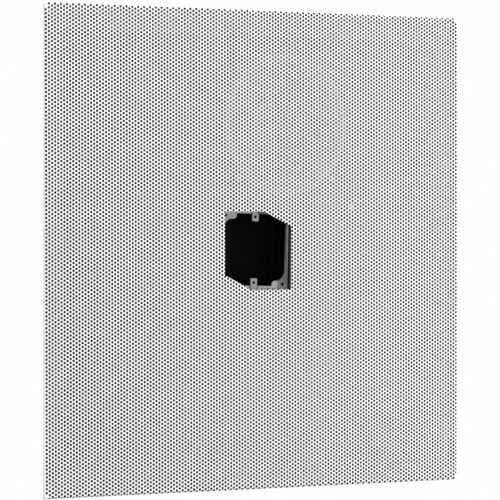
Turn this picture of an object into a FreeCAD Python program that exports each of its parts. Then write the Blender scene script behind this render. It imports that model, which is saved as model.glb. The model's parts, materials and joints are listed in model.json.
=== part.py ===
import FreeCAD, Part
import math
import os

# Ceiling tile speaker, in millimetres.
# The face lies in the plane z = 0 and looks down (-Z). The driver and its wiring stand above it.
# X runs along the face, Y from the driver's half of the tile towards the empty half.

# Face panel
tile_side = 603.25
tile_depth = 9.5
face_sheet = 0.8
corner_radius = 4.0
bend_radius = 3.0
return_radius = 1.5
return_width = 32.0
mitre_gap = 0.6

# Window in the face
window_x = -0.25
window_y = 1.3
window_width = 96.5
window_height = 98.0
window_cut_x = 38.0
window_cut_y = 18.5

# Baffle plate, a shallow tray on the return of the face panel
baffle_inset = 9.5
baffle_sheet = 1.0
baffle_flange = 12.0
baffle_corner_notch = 6.0
rivet_edge = 12.0
rivets_per_side = 4
rivet_radius = 1.6
rivet_head_radius = 3.2
rivet_head_height = 1.3
rivet_tail_radius = 2.4
rivet_tail_height = 2.2

# Clearances
hole_clearance = 0.1
seat_clearance = 0.3
box_clearance = 0.7

# Inside radius of the bends in the small brackets
bracket_bend = 0.8

# Outlet box and its ring, turned a little in the window
box_x = -0.35
box_y = 0.15
box_turn = 1.6
box_side = 101.6
box_depth = 38.0
box_sheet = 1.6
box_corner = 8.0
knockout_radius = 11.1
knockout_height = 0.5
ring_proud = 0.1
ring_sheet = 1.6
ring_border = 5.4
ring_corner = 9.0
ear_offset = 42.7
ear_hole_radius = 2.1
ear_length = 24.0
ear_width = 12.3
ear_round = 4.5
ear_root = 13.0
tab_offset = 41.4
tab_width = 9.2
tab_reach = 14.7
tab_step = 0.6
tab_hole_radius = 2.0
notch_width = 1.3
notch_depth = 4.4
bracket_sheet = 1.5
bracket_width = 40.0
bracket_foot = 15.0
bracket_height = 22.0
bracket_rivet_spacing = 24.0

# Driver
driver_x = 44.5
driver_gap = 5.0
rim_radius = 102.0
rim_flat = 13.0
frame_sheet = 1.2
frame_bend = 1.5
cutout_inset = 11.0
bolt_inset = 5.15
bolt_count = 4
gasket_thick = 2.4
gasket_width = 7.6
basket_depth = 47.0
spider_seat_outer = 50.0
spider_seat_width = 9.0
neck_depth = 8.0
neck_radius = 37.0
neck_hole = 24.0
frame_window_count = 6
frame_window_angle = 40.0
frame_window_margin = 7.0

# Cone and suspension
travel = 3.0
lip_inset = 21.0
lip_width = 3.0
cone_depth = 44.0
cone_paper = 0.7
cone_flare = 1.12
cone_steps = 5
roll_wall = 0.4
spider_cloth = 0.5
spider_wave = 1.2
spider_waves = 3
spider_wave_steps = 4
spider_land = 2.6
whizzer_reach = 21.0
whizzer_depth = 20.0
whizzer_paper = 0.5
whizzer_flare = 0.7
whizzer_steps = 4
cap_rise = 6.0
cap_paper = 0.5

# Motor
coil_radius = 12.7
former_wall = 0.3
former_overhang = 1.0
winding_thick = 0.5
winding_height = 8.0
glue_gap = 0.05
gap_inner = 0.4
gap_outer = 0.45
plate_radius = 40.0
plate_thick = 6.0
magnet_radius = 42.5
magnet_hole = 20.0
magnet_thick = 13.0
magnet_chamfer = 0.8
yoke_thick = 5.0
yoke_chamfer = 2.0

# Screws and nuts
screw_radius = 2.0
screw_head_radius = 4.0
screw_head_height = 2.4
screw_drive_radius = 1.3
screw_drive_depth = 1.2
nut_across_flats = 7.0
nut_height = 3.2
screw_past_nut = 1.5

# Terminals of the driver
board_length = 26.0
board_width = 16.0
board_thick = 1.6
lug_width = 4.5
lug_length = 15.0
lug_thick = 0.6
lug_spacing = 15.0
lug_eye_radius = 1.1

# Line transformer
transformer_x = -140.0
transformer_y = -150.0
core_width = 48.0
core_height = 40.0
core_stack = 18.0
core_leg = 8.0
bobbin_wall = 1.0
bobbin_gap = 0.3
winding_round = 4.0
winding_inset = 1.2
strap_sheet = 1.2
strap_width = 16.0
strap_foot = 14.0

# Input terminal block
block_x = -140.0
block_y = -70.0
block_width = 22.0
block_height = 9.0
pole_count = 4
pole_pitch = 10.0
barrier_thick = 1.6
barrier_height = 6.0
plate_edge = 7.0
plate_leaf = 0.8
plate_run = 18.0
pole_screw_radius = 3.0
pole_screw_height = 2.0
block_ear = 10.2

# Cable clip
clip_x = 142.8
clip_y = -54.2
clip_loop_radius = 5.0
clip_wall = 1.4
clip_width = 9.0
clip_foot = 14.0

# Tie-off lugs
lug_inset = 63.625
tie_sheet = 1.5
tie_width = 22.0
tie_foot = 18.0
tie_height = 26.0
tie_hole_radius = 4.0

os.makedirs("parts", exist_ok=True)

UP = FreeCAD.Vector(0, 0, 1)
ORIGIN = FreeCAD.Vector(0, 0, 0)


def vec(x, y, z=0.0):
    return FreeCAD.Vector(x, y, z)


def save(name, shape):
    """Writes one piece to its own file."""
    shape.exportStep("parts/" + name + ".step")


def disc(radius, low, high, x=0.0, y=0.0):
    """Upright cylinder between two heights."""
    return Part.makeCylinder(radius, high - low, vec(x, y, low), UP)


def tube(inner, outer, low, high, x=0.0, y=0.0):
    """Upright tube between two heights."""
    return disc(outer, low, high, x, y).cut(disc(inner, low, high, x, y))


def block(length, width, low, high, x=0.0, y=0.0):
    """Upright box centred on a point of the plan."""
    return Part.makeBox(length, width, high - low, vec(x - length / 2, y - width / 2, low))


def prism(points, low, high):
    """Upright prism on a closed outline of plan points."""
    corners = [vec(x, y, low) for x, y in points]
    wire = Part.makePolygon(corners + corners[:1])
    return Part.Face(wire).extrude(vec(0, 0, high - low))


def upright_edges(solid, places=None):
    """Vertical edges of a solid, all of them or those that stand at the given plan points."""
    found = []
    for edge in solid.Edges:
        box = edge.BoundBox
        if box.XLength > 1e-6 or box.YLength > 1e-6:
            continue
        near = [p for p in places or [] if math.hypot(box.XMin - p[0], box.YMin - p[1]) < 1e-3]
        if places is None or near:
            found.append(edge)
    return found


def level_edges(solid, height):
    """Edges that lie flat at a height."""
    flat = [e for e in solid.Edges if e.BoundBox.ZLength < 1e-6]
    return [e for e in flat if abs(e.BoundBox.ZMin - height) < 1e-6]


def round_edges(solid, radius, height):
    """Full circles of a radius about the Z axis at a height."""
    found = []
    for edge in level_edges(solid, height):
        if isinstance(edge.Curve, Part.Circle) and abs(edge.Curve.Radius - radius) < 1e-6:
            found.append(edge)
    return found


def bend_edges(solid, x, height):
    """Level edges along Y through a point of the section."""
    flat = [e for e in level_edges(solid, height) if e.BoundBox.XLength < 1e-6]
    return [e for e in flat if abs(e.BoundBox.XMin - x) < 1e-6]


def bent(angle, sheet, inside, outside):
    """Angle of sheet with its bend rounded: inside and outside are the (x, height) of its two corners."""
    angle = angle.makeFillet(bracket_bend, bend_edges(angle, *inside))
    return angle.makeFillet(bracket_bend + sheet, bend_edges(angle, *outside))


def rounded_block(length, width, radius, low, high, x=0.0, y=0.0):
    """Upright box with rounded vertical edges."""
    solid = block(length, width, low, high, x, y)
    return solid.makeFillet(radius, upright_edges(solid))


def spun(points):
    """Solid of revolution about Z from a closed outline of (radius, height) points."""
    corners = [vec(r, 0, z) for r, z in points]
    wire = Part.makePolygon(corners + corners[:1])
    return Part.Face(wire).revolve(ORIGIN, UP, 360)


def band(points, thick):
    """Closed outline of a sheet that follows (radius, height) points, thickened towards the rear."""
    normals = []
    for (r0, z0), (r1, z1) in zip(points, points[1:]):
        run = math.hypot(r1 - r0, z1 - z0)
        normals.append(((z1 - z0) / run, (r0 - r1) / run))
    rear = []
    for i, (r, z) in enumerate(points):
        before = normals[max(i - 1, 0)]
        after = normals[min(i, len(normals) - 1)]
        share = thick / (1 + before[0] * after[0] + before[1] * after[1])
        rear.append((r + (before[0] + after[0]) * share, z + (before[1] + after[1]) * share))
    return points + rear[::-1]


def group(solids):
    """Several separate solids as one shape."""
    return Part.makeCompound(solids)


def placed(shape, x, y, turn=0.0):
    """Copy of a shape turned about Z and moved in plan."""
    copy = shape.copy()
    copy.rotate(ORIGIN, UP, turn)
    copy.translate(vec(x, y))
    return copy


# Heights, from the face upwards
baffle_front = tile_depth
baffle_rear = baffle_front + baffle_sheet
rim_front = baffle_rear + gasket_thick
rim_rear = rim_front + frame_sheet
seat_height = rim_front + basket_depth
neck_height = seat_height + neck_depth
plate_front = neck_height + frame_sheet
plate_rear = plate_front + plate_thick
magnet_rear = plate_rear + magnet_thick
ring_front = baffle_front - ring_proud
ring_rear = ring_front + ring_sheet
box_rear = ring_rear + box_depth

# Sizes that follow from others
baffle_side = tile_side - 2 * baffle_inset
rim_inner = rim_radius - rim_flat
cutout_radius = rim_radius - cutout_inset
bolt_circle = 2 * (rim_radius - bolt_inset)
lip_outer = rim_radius - lip_inset
lug_corner = tile_side / 2 - lug_inset

# Plan places
box_half = box_side / 2
turn = math.radians(box_turn)
box_span = box_half * (math.cos(turn) + math.sin(turn))
driver_y = box_y - box_span - driver_gap - rim_radius
bolt_angles = [45 + 360 / bolt_count * i for i in range(bolt_count)]
bolt_places = [
    (bolt_circle / 2 * math.cos(math.radians(a)), bolt_circle / 2 * math.sin(math.radians(a)))
    for a in bolt_angles
]
rivet_line = baffle_side / 2 - rivet_edge
rivet_pitch = 2 * rivet_line / rivets_per_side
rivet_steps = [-rivet_line + rivet_pitch * (i + 0.5) for i in range(rivets_per_side)]
rivet_places = [(step, side * rivet_line) for step in rivet_steps for side in (-1, 1)]
rivet_places += [(side * rivet_line, step) for step in rivet_steps for side in (-1, 1)]
rivet_hole = rivet_radius + hole_clearance
screw_hole = screw_radius + hole_clearance


def rivet(head_height, tail_height):
    """Blind rivet: domed head above one height, shank, and bulged tail below the other."""
    dome_radius = (rivet_head_radius**2 + rivet_head_height**2) / (2 * rivet_head_height)
    ball = Part.makeSphere(dome_radius, vec(0, 0, head_height + rivet_head_height - dome_radius))
    head = disc(rivet_head_radius, head_height, head_height + rivet_head_height).common(ball)
    shank = disc(rivet_radius, tail_height, head_height)
    tail = disc(rivet_tail_radius, tail_height - rivet_tail_height, tail_height)
    return head.fuse(shank).fuse(tail).removeSplitter()


def face_screw(head_rear, tip):
    """Pan-head screw driven upwards from the face side, with a cross recess in its head."""
    head = disc(screw_head_radius, head_rear - screw_head_height, head_rear)
    head = head.makeFillet(screw_head_height / 2, level_edges(head, head_rear - screw_head_height))
    shank = disc(screw_radius, head_rear, tip)
    low = head_rear - screw_head_height
    slot = block(2 * screw_drive_radius * 1.6, screw_drive_radius * 0.6, low, low + screw_drive_depth)
    cross = slot.fuse(placed(slot, 0, 0, 90))
    return head.fuse(shank).cut(cross).removeSplitter()


def hex_nut(low):
    """Hexagon nut with a clearance bore."""
    radius = nut_across_flats / math.sqrt(3)
    corners = [(radius * math.cos(math.radians(60 * i)), radius * math.sin(math.radians(60 * i))) for i in range(6)]
    return prism(corners, low, low + nut_height).cut(disc(screw_hole, low, low + nut_height))


def window_outline():
    """Six corners of the window: a square with two opposite corners cut off."""
    left = window_x - window_width / 2
    right = window_x + window_width / 2
    top = window_y - window_height / 2
    bottom = window_y + window_height / 2
    return [
        (left, top),
        (right - window_cut_x, top),
        (right, top + window_cut_y),
        (right, bottom),
        (left + window_cut_x, bottom),
        (left, bottom - window_cut_y),
    ]


def face_panel():
    """Folded pan: flat face, turned-up edge and a return that lies parallel to the face."""
    outer = rounded_block(tile_side, tile_side, corner_radius, 0, tile_depth)
    outer = outer.makeFillet(bend_radius, level_edges(outer, 0))
    outer = outer.makeFillet(return_radius, level_edges(outer, tile_depth))
    inner_side = tile_side - 2 * face_sheet
    inner_top = tile_depth - face_sheet
    inner = rounded_block(inner_side, inner_side, corner_radius - face_sheet, face_sheet, inner_top)
    inner = inner.makeFillet(bend_radius - face_sheet, level_edges(inner, face_sheet))
    inner = inner.makeFillet(return_radius - face_sheet, level_edges(inner, inner_top))
    opening_side = tile_side - 2 * return_width
    opening = block(opening_side, opening_side, inner_top - 1, tile_depth + 1)
    pan = outer.cut(inner).cut(opening)
    pan = pan.cut(prism(window_outline(), -1, face_sheet + 1))
    mitre_length = return_width * math.sqrt(2)
    mitre_end = tile_side / 2 - corner_radius
    mitre = block(mitre_length, mitre_gap, inner_top - 1, tile_depth + 1, -mitre_length / 2)
    for quarter in range(4):
        slit = placed(mitre, mitre_end, mitre_end, 45)
        slit.rotate(ORIGIN, UP, 90 * quarter)
        pan = pan.cut(slit)
    holes = [disc(rivet_hole, inner_top - 1, tile_depth + 1, x, y) for x, y in rivet_places]
    return pan.cut(group(holes))


def baffle_plate():
    """Black tray: plate with turned-up edges, the driver's hole and the outlet box's hole."""
    half = baffle_side / 2
    plate = block(baffle_side, baffle_side, baffle_front, baffle_rear)
    run = baffle_side - 2 * baffle_corner_notch
    top = baffle_rear + baffle_flange
    wall = block(baffle_sheet, run, baffle_rear, top, half - baffle_sheet / 2)
    for quarter in range(4):
        plate = plate.fuse(placed(wall, 0, 0, 90 * quarter))
    for sx in (-1, 1):
        for sy in (-1, 1):
            inset = half - baffle_corner_notch / 2
            corner = block(baffle_corner_notch, baffle_corner_notch, baffle_front, baffle_rear, sx * inset, sy * inset)
            plate = plate.cut(corner)
    plate = plate.cut(disc(cutout_radius, baffle_front, baffle_rear, driver_x, driver_y))
    side = box_side + 2 * box_clearance
    hatch = rounded_block(side, side, box_corner + box_clearance, baffle_front, baffle_rear)
    plate = plate.cut(placed(hatch, box_x, box_y, box_turn))
    holes = [disc(rivet_hole, baffle_front, baffle_rear, x, y) for x, y in rivet_places]
    for x, y in bolt_places:
        holes.append(disc(screw_hole, baffle_front, baffle_rear, driver_x + x, driver_y + y))
    holes.append(disc(screw_hole, baffle_front, baffle_rear, clip_x, clip_y))
    for x, y in strap_places() + bracket_places() + lug_places():
        holes.append(disc(rivet_hole, baffle_front, baffle_rear, x, y))
    for x, y in block_places():
        holes.append(disc(screw_hole, baffle_front, baffle_rear, x, y))
    return plate.cut(group(holes)).removeSplitter()


def box_ring():
    """Stamped square ring with two diagonal ears and two stepped screw tabs in relief notches."""
    ring = rounded_block(box_side, box_side, box_corner, ring_front, ring_rear)
    inner = box_half - ring_border
    ear_x = box_half - ear_length
    ear_y = box_half - ear_width
    outline = [
        (-ear_x, -inner), (inner, -inner), (inner, ear_y), (ear_x, ear_y),
        (ear_x, inner), (-inner, inner), (-inner, -ear_y), (-ear_x, -ear_y),
    ]
    hole = prism(outline, ring_front - 1, ring_rear + 1)
    hole = hole.makeFillet(ring_corner, upright_edges(hole, [(inner, -inner), (-inner, inner)]))
    hole = hole.makeFillet(ear_root, upright_edges(hole, [(inner, ear_y), (-inner, -ear_y)]))
    hole = hole.makeFillet(ear_round, upright_edges(hole, [(ear_x, ear_y), (-ear_x, -ear_y)]))
    ring = ring.cut(hole)
    for side in (-1, 1):
        notch_span = tab_width + 2 * notch_width
        notch_y = side * (inner + notch_depth / 2)
        ring = ring.cut(block(notch_span, notch_depth, ring_front - 1, ring_rear + 1, 0, notch_y))
        tab_y = side * (box_half - tab_reach / 2)
        tab = block(tab_width, tab_reach, ring_front - tab_step, ring_rear - tab_step, 0, tab_y)
        tab = tab.cut(disc(tab_hole_radius, ring_front - 1, ring_rear, 0, side * tab_offset))
        ring = ring.fuse(tab)
        ring = ring.cut(disc(ear_hole_radius, ring_front - 1, ring_rear + 1, side * ear_offset, side * ear_offset))
    return placed(ring.removeSplitter(), box_x, box_y, box_turn)


def outlet_box():
    """Drawn square box, open to the face, with pressed knock-outs in its back and its free side."""
    shell = rounded_block(box_side, box_side, box_corner, ring_rear, box_rear)
    shell = shell.makeFillet(box_corner / 2, level_edges(shell, box_rear))
    inner_side = box_side - 2 * box_sheet
    inner_top = box_rear - box_sheet
    hollow = rounded_block(inner_side, inner_side, box_corner - box_sheet, ring_rear, inner_top)
    hollow = hollow.makeFillet(box_corner / 2 - box_sheet, level_edges(hollow, inner_top))
    shell = shell.cut(hollow)
    for side in (-1, 1):
        knock_x = side * box_side / 4
        shell = shell.fuse(disc(knockout_radius, box_rear, box_rear + knockout_height, knock_x, 0))
        middle = vec(knock_x, box_half, (ring_rear + box_rear) / 2)
        shell = shell.fuse(Part.makeCylinder(knockout_radius, knockout_height, middle, vec(0, 1, 0)))
    return placed(shell.removeSplitter(), box_x, box_y, box_turn)


def bracket_reach():
    """Distance of a bracket's rivet line from the middle of the box."""
    return box_half + bracket_sheet + (bracket_foot - bracket_sheet) / 2


def bracket_places():
    """Plan places of the bracket rivets."""
    places = []
    for side in (-1, 1):
        for end in (-1, 1):
            x = side * bracket_reach()
            y = end * bracket_rivet_spacing / 2
            across = x * math.cos(turn) - y * math.sin(turn)
            along = x * math.sin(turn) + y * math.cos(turn)
            places.append((box_x + across, box_y + along))
    return places


def box_bracket(side):
    """Angle bracket: one leg welded to the box, the other riveted to the baffle plate."""
    foot_x = side * (box_half + bracket_foot / 2)
    foot = block(bracket_foot, bracket_width, baffle_rear, baffle_rear + bracket_sheet, foot_x)
    leg_x = side * (box_half + bracket_sheet / 2)
    leg = block(bracket_sheet, bracket_width, baffle_rear, baffle_rear + bracket_height, leg_x)
    inside = (side * (box_half + bracket_sheet), baffle_rear + bracket_sheet)
    angle = bent(foot.fuse(leg).removeSplitter(), bracket_sheet, inside, (side * box_half, baffle_rear))
    for end in (-1, 1):
        x = side * bracket_reach()
        y = end * bracket_rivet_spacing / 2
        angle = angle.cut(disc(rivet_hole, baffle_rear, baffle_rear + bracket_sheet, x, y))
    return placed(angle, box_x, box_y, box_turn)


def driver_basket():
    """Stamped basket: bolted rim, windowed cone, spider seat and neck for the motor."""
    spider_seat_inner = spider_seat_outer - spider_seat_width
    side = [
        (rim_radius, rim_front),
        (rim_inner, rim_front),
        (spider_seat_outer, seat_height),
        (spider_seat_inner, seat_height),
        (neck_radius, neck_height),
        (neck_hole, neck_height),
    ]
    outline = band(side, frame_sheet)
    basket = spun(outline)
    for inward in (1, 3):
        basket = basket.makeFillet(frame_bend, round_edges(basket, *outline[-1 - inward]))
        basket = basket.makeFillet(frame_bend + frame_sheet, round_edges(basket, *outline[inward]))
    for outward in (2, 4):
        basket = basket.makeFillet(frame_sheet, round_edges(basket, *outline[-1 - outward]))
    slope = (seat_height - rim_front) / (rim_inner - spider_seat_outer)
    low_radius = rim_inner - frame_window_margin
    high_radius = spider_seat_outer + frame_window_margin
    low = rim_front + (rim_inner - low_radius) * slope
    high = rim_front + (rim_inner - high_radius) * slope
    reach = 4 * frame_sheet
    quad = [
        (low_radius - reach * 0.6, low - reach * 0.6),
        (high_radius - reach * 0.6, high - reach * 0.6),
        (high_radius + reach, high + reach),
        (low_radius + reach, low + reach),
    ]
    corners = [vec(r, 0, z) for r, z in quad]
    profile = Part.Face(Part.makePolygon(corners + corners[:1]))
    opening = profile.revolve(ORIGIN, UP, frame_window_angle)
    pitch = 360 / frame_window_count
    for i in range(frame_window_count):
        basket = basket.cut(placed(opening, 0, 0, pitch * (i + 0.5) - frame_window_angle / 2))
    holes = [disc(screw_hole, rim_front, rim_rear, x, y) for x, y in bolt_places]
    basket = basket.cut(group(holes)).cut(board_hole())
    return placed(basket, driver_x, driver_y)


def driver_gasket():
    """Pressed-fibre ring between the basket's rim and the baffle plate."""
    ring = tube(rim_radius - gasket_width, rim_radius, baffle_rear, rim_front)
    holes = [disc(screw_hole, baffle_rear, rim_front, x, y) for x, y in bolt_places]
    return placed(ring.cut(group(holes)), driver_x, driver_y)


def surround():
    """Half-roll edge: a land on the basket's rim, a roll towards the face, a land on the cone."""
    land_front = rim_front - roll_wall
    land_outer = rim_radius - gasket_width - seat_clearance
    land_inner = lip_outer - lip_width
    middle = (cutout_radius - hole_clearance + lip_outer) / 2
    outer_roll = middle - lip_outer
    inner_roll = outer_roll - roll_wall
    crest = vec(middle, 0, rim_front - outer_roll)
    valley = vec(middle, 0, rim_front - inner_roll)
    front_rise = math.sqrt(outer_roll**2 - roll_wall**2)
    front_a = vec(middle + front_rise, 0, land_front)
    front_b = vec(middle - front_rise, 0, land_front)
    rear_a = vec(middle + inner_roll, 0, rim_front)
    rear_b = vec(middle - inner_roll, 0, rim_front)
    edges = [
        Part.LineSegment(vec(land_outer, 0, land_front), front_a).toShape(),
        Part.Arc(front_a, crest, front_b).toShape(),
        Part.LineSegment(front_b, vec(land_inner, 0, land_front)).toShape(),
        Part.LineSegment(vec(land_inner, 0, land_front), vec(land_inner, 0, rim_front)).toShape(),
        Part.LineSegment(vec(land_inner, 0, rim_front), rear_b).toShape(),
        Part.Arc(rear_b, valley, rear_a).toShape(),
        Part.LineSegment(rear_a, vec(land_outer, 0, rim_front)).toShape(),
        Part.LineSegment(vec(land_outer, 0, rim_front), vec(land_outer, 0, land_front)).toShape(),
    ]
    ring = Part.Face(Part.Wire(edges)).revolve(ORIGIN, UP, 360)
    return placed(ring, driver_x, driver_y)


# The cone's neck is glued round the coil former
former_outer = coil_radius + former_wall
neck_inner = former_outer + hole_clearance
apex_height = rim_front + cone_depth
former_front = apex_height - former_overhang


def cone():
    """Paper cone: flat lip, then a wall that steepens a little towards the neck."""
    lip_inner = lip_outer - lip_width
    wall = [(lip_outer, rim_front)]
    for i in range(cone_steps + 1):
        share = i / cone_steps
        radius = lip_inner + (neck_inner - lip_inner) * share
        wall.append((radius, rim_front + cone_depth * share**cone_flare))
    return placed(spun(band(wall, cone_paper)), driver_x, driver_y)


def whizzer_cone():
    """Small horn-shaped cone in front of the neck, for the high notes."""
    base_radius = neck_inner + 2 * whizzer_paper
    base = apex_height - former_overhang - 2 * whizzer_paper
    wall = []
    for i in range(whizzer_steps + 1):
        share = 1 - i / whizzer_steps
        wall.append((base_radius + whizzer_reach * share, base - whizzer_depth * share**whizzer_flare))
    return placed(spun(band(wall, whizzer_paper)), driver_x, driver_y)


def dust_cap():
    """Domed cap on the front end of the coil former."""
    dome = (former_outer**2 + cap_rise**2) / (2 * cap_rise)
    centre = vec(0, 0, former_front - cap_rise + dome)
    ball = Part.makeSphere(dome, centre).cut(Part.makeSphere(dome - cap_paper, centre))
    cap = ball.common(disc(former_outer, former_front - cap_rise - 1, former_front))
    return placed(cap, driver_x, driver_y)


gap_middle = plate_front + plate_thick / 2
winding_rear = gap_middle + winding_height / 2


def coil_former():
    """Thin tube that carries the winding and joins it to the cone."""
    tail = winding_rear + former_overhang
    return placed(tube(coil_radius, former_outer, former_front, tail), driver_x, driver_y)


def coil_winding():
    """Wire wound on the former, in the gap of the motor."""
    inner = former_outer + glue_gap
    low = gap_middle - winding_height / 2
    return placed(tube(inner, inner + winding_thick, low, winding_rear), driver_x, driver_y)


def spider():
    """Pleated cloth disc that centres the coil: round waves between two flat lands."""
    inner = former_outer + glue_gap
    seat_inner = spider_seat_outer - spider_seat_width
    flat = seat_height - spider_cloth
    wave_inner = inner + spider_land
    steps = spider_waves * spider_wave_steps
    path = [(spider_seat_outer - 1, flat)]
    for i in range(steps + 1):
        share = i / steps
        radius = seat_inner + (wave_inner - seat_inner) * share
        path.append((radius, flat - spider_wave * math.sin(2 * math.pi * spider_waves * share)))
    path.append((inner, flat))
    return placed(spun(band(path, spider_cloth)), driver_x, driver_y)


def top_plate():
    """Steel washer that closes the front of the magnetic circuit."""
    hole = former_outer + glue_gap + winding_thick + gap_outer
    return placed(tube(hole, plate_radius, plate_front, plate_rear), driver_x, driver_y)


def magnet():
    """Pressed ferrite ring."""
    ring = tube(magnet_hole, magnet_radius, plate_rear, magnet_rear)
    for height in (plate_rear, magnet_rear):
        ring = ring.makeChamfer(magnet_chamfer, round_edges(ring, magnet_radius, height))
    return placed(ring, driver_x, driver_y)


def pole_yoke():
    """Back plate and centre pole, turned in one piece."""
    back = disc(plate_radius, magnet_rear, magnet_rear + yoke_thick)
    back = back.makeChamfer(yoke_chamfer, level_edges(back, magnet_rear + yoke_thick))
    pole = disc(coil_radius - gap_inner, plate_front, magnet_rear)
    return placed(back.fuse(pole).removeSplitter(), driver_x, driver_y)


def on_basket_side(shape):
    """Moves a shape from a flat bench (X along, Y across, Z out) to the basket's wall at +X."""
    rise = seat_height - rim_front
    run = rim_inner - spider_seat_outer
    length = math.hypot(rise, run)
    out = (rise / length, run / length)
    middle_r = (rim_inner + spider_seat_outer) / 2 + out[0] * frame_sheet
    middle_z = (rim_front + seat_height) / 2 + out[1] * frame_sheet
    copy = shape.copy()
    copy.rotate(ORIGIN, vec(0, 1, 0), math.degrees(math.atan2(out[0], out[1])))
    copy.translate(vec(middle_r, 0, middle_z))
    return copy


def board_hole():
    """Drill through the basket's wall for the terminal board's rivet."""
    return on_basket_side(disc(rivet_hole, -3 * frame_sheet, frame_sheet))


def terminal_board():
    """Fibre board flat against the basket, drilled for its rivet and its two lugs."""
    board = block(board_width, board_length, 0, board_thick)
    board = board.cut(disc(rivet_hole, 0, board_thick))
    for side in (-1, 1):
        board = board.cut(disc(rivet_hole, 0, board_thick, 0, side * lug_spacing / 2))
    return placed(on_basket_side(board), driver_x, driver_y)


def board_rivet():
    """Rivet through the board and the basket's wall, its tail clear of the wall's curve."""
    return placed(on_basket_side(rivet(board_thick, -frame_sheet - hole_clearance)), driver_x, driver_y)


def terminal_lugs():
    """Two solder lugs, each held in the board by its own eyelet."""
    lugs = []
    for side in (-1, 1):
        y = side * lug_spacing / 2
        leaf = block(lug_length, lug_width, board_thick, board_thick + lug_thick, -lug_length / 4, y)
        eye_x = -lug_length * 0.6
        leaf = leaf.cut(disc(lug_eye_radius, board_thick, board_thick + lug_thick, eye_x, y))
        eyelet = disc(rivet_radius, frame_sheet / 2, board_thick, 0, y)
        lugs.append(leaf.fuse(eyelet).removeSplitter())
    return group([placed(on_basket_side(lug), driver_x, driver_y) for lug in lugs])


def driver_screws():
    """Screws that hold the driver to the baffle plate, heads towards the face."""
    tip = rim_rear + nut_height + screw_past_nut
    one = face_screw(baffle_front, tip)
    return group([placed(one, driver_x + x, driver_y + y) for x, y in bolt_places])


def driver_nuts():
    """Nuts of the driver screws, on the basket's rim."""
    one = hex_nut(rim_rear)
    return group([placed(one, driver_x + x, driver_y + y) for x, y in bolt_places])


def baffle_rivets():
    """Rivets round the edge of the baffle plate."""
    one = rivet(baffle_rear, tile_depth - face_sheet)
    return group([placed(one, x, y) for x, y in rivet_places])


def bracket_rivets():
    """Rivets of the outlet box's brackets."""
    one = rivet(baffle_rear + bracket_sheet, baffle_front)
    return group([placed(one, x, y) for x, y in bracket_places()])


def strap_places():
    """Plan places of the transformer strap's rivets."""
    reach = core_width / 2 + strap_sheet + strap_foot / 2
    return [(transformer_x + side * reach, transformer_y) for side in (-1, 1)]


def core_windows(margin):
    """The two windows of the core, shrunk by a margin, as cutters along Y."""
    leg = 2 * core_leg
    width = (core_width - 2 * core_leg - leg) / 2 - 2 * margin
    height = core_height - 2 * core_leg - 2 * margin
    low = baffle_rear + core_leg + margin
    middle = leg / 2 + margin + width / 2
    return [block(width, 3 * core_stack, low, low + height, side * middle) for side in (-1, 1)]


def transformer_core():
    """Stack of E and I laminations with two windows."""
    stack = block(core_width, core_stack, baffle_rear, baffle_rear + core_height)
    return placed(stack.cut(group(core_windows(0))), transformer_x, transformer_y)


def coil_space(outset, low_inset):
    """Upright block round the centre leg, as deep as the winding, inside the core's windows."""
    width = core_width - 2 * core_leg - 2 * outset
    depth = core_stack + 2 * core_leg - 2 * outset
    low = baffle_rear + core_leg + low_inset
    high = baffle_rear + core_height - core_leg - low_inset
    return rounded_block(width, depth, winding_round, low, high)


def leg_hole(gap, low, high):
    """Space of the centre leg with a gap round it."""
    return block(2 * core_leg + 2 * gap, core_stack + 2 * gap, low, high)


def transformer_bobbin():
    """Moulded bobbin: a sleeve on the centre leg with a flange at each end."""
    low = baffle_rear + core_leg + bobbin_gap
    high = baffle_rear + core_height - core_leg - bobbin_gap
    flanges = coil_space(bobbin_gap, bobbin_gap)
    spare = coil_space(bobbin_gap, bobbin_gap + bobbin_wall)
    sleeve = leg_hole(bobbin_gap + bobbin_wall, low, high)
    bobbin = flanges.cut(spare).fuse(sleeve).cut(leg_hole(bobbin_gap, low, high))
    return placed(bobbin.removeSplitter(), transformer_x, transformer_y)


def transformer_winding():
    """Taped winding between the bobbin's flanges."""
    inset = bobbin_gap + winding_inset
    wound = coil_space(inset, bobbin_gap + bobbin_wall)
    low = baffle_rear + core_leg
    high = baffle_rear + core_height
    wound = wound.cut(leg_hole(bobbin_gap + bobbin_wall, low, high))
    return placed(wound, transformer_x, transformer_y)


def transformer_strap():
    """Bent strap over the core with a riveted foot at each side."""
    width = core_width + 2 * strap_sheet
    top = baffle_rear + core_height + strap_sheet
    hoop = block(width, strap_width, baffle_rear, top)
    hoop = hoop.cut(block(core_width, strap_width, baffle_rear, top - strap_sheet))
    for side in (-1, 1):
        foot_x = side * (width / 2 + strap_foot / 2)
        hoop = hoop.fuse(block(strap_foot, strap_width, baffle_rear, baffle_rear + strap_sheet, foot_x))
        hole_x = side * (core_width / 2 + strap_sheet + strap_foot / 2)
        hoop = hoop.cut(disc(rivet_hole, baffle_rear, baffle_rear + strap_sheet, hole_x))
    return placed(hoop.removeSplitter(), transformer_x, transformer_y)


def transformer_rivets():
    """Rivets of the transformer's feet."""
    one = rivet(baffle_rear + strap_sheet, baffle_front)
    return group([placed(one, x, y) for x, y in strap_places()])


pole_run = pole_count * pole_pitch + barrier_thick
block_length = pole_run + 2 * block_ear
block_screw_reach = (pole_run + block_ear) / 2


def block_places():
    """Plan places of the terminal block's fixing screws."""
    return [(block_x + side * block_screw_reach, block_y) for side in (-1, 1)]


def pole_offsets():
    """Places of the terminals along the block."""
    return [(i - (pole_count - 1) / 2) * pole_pitch for i in range(pole_count)]


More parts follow.
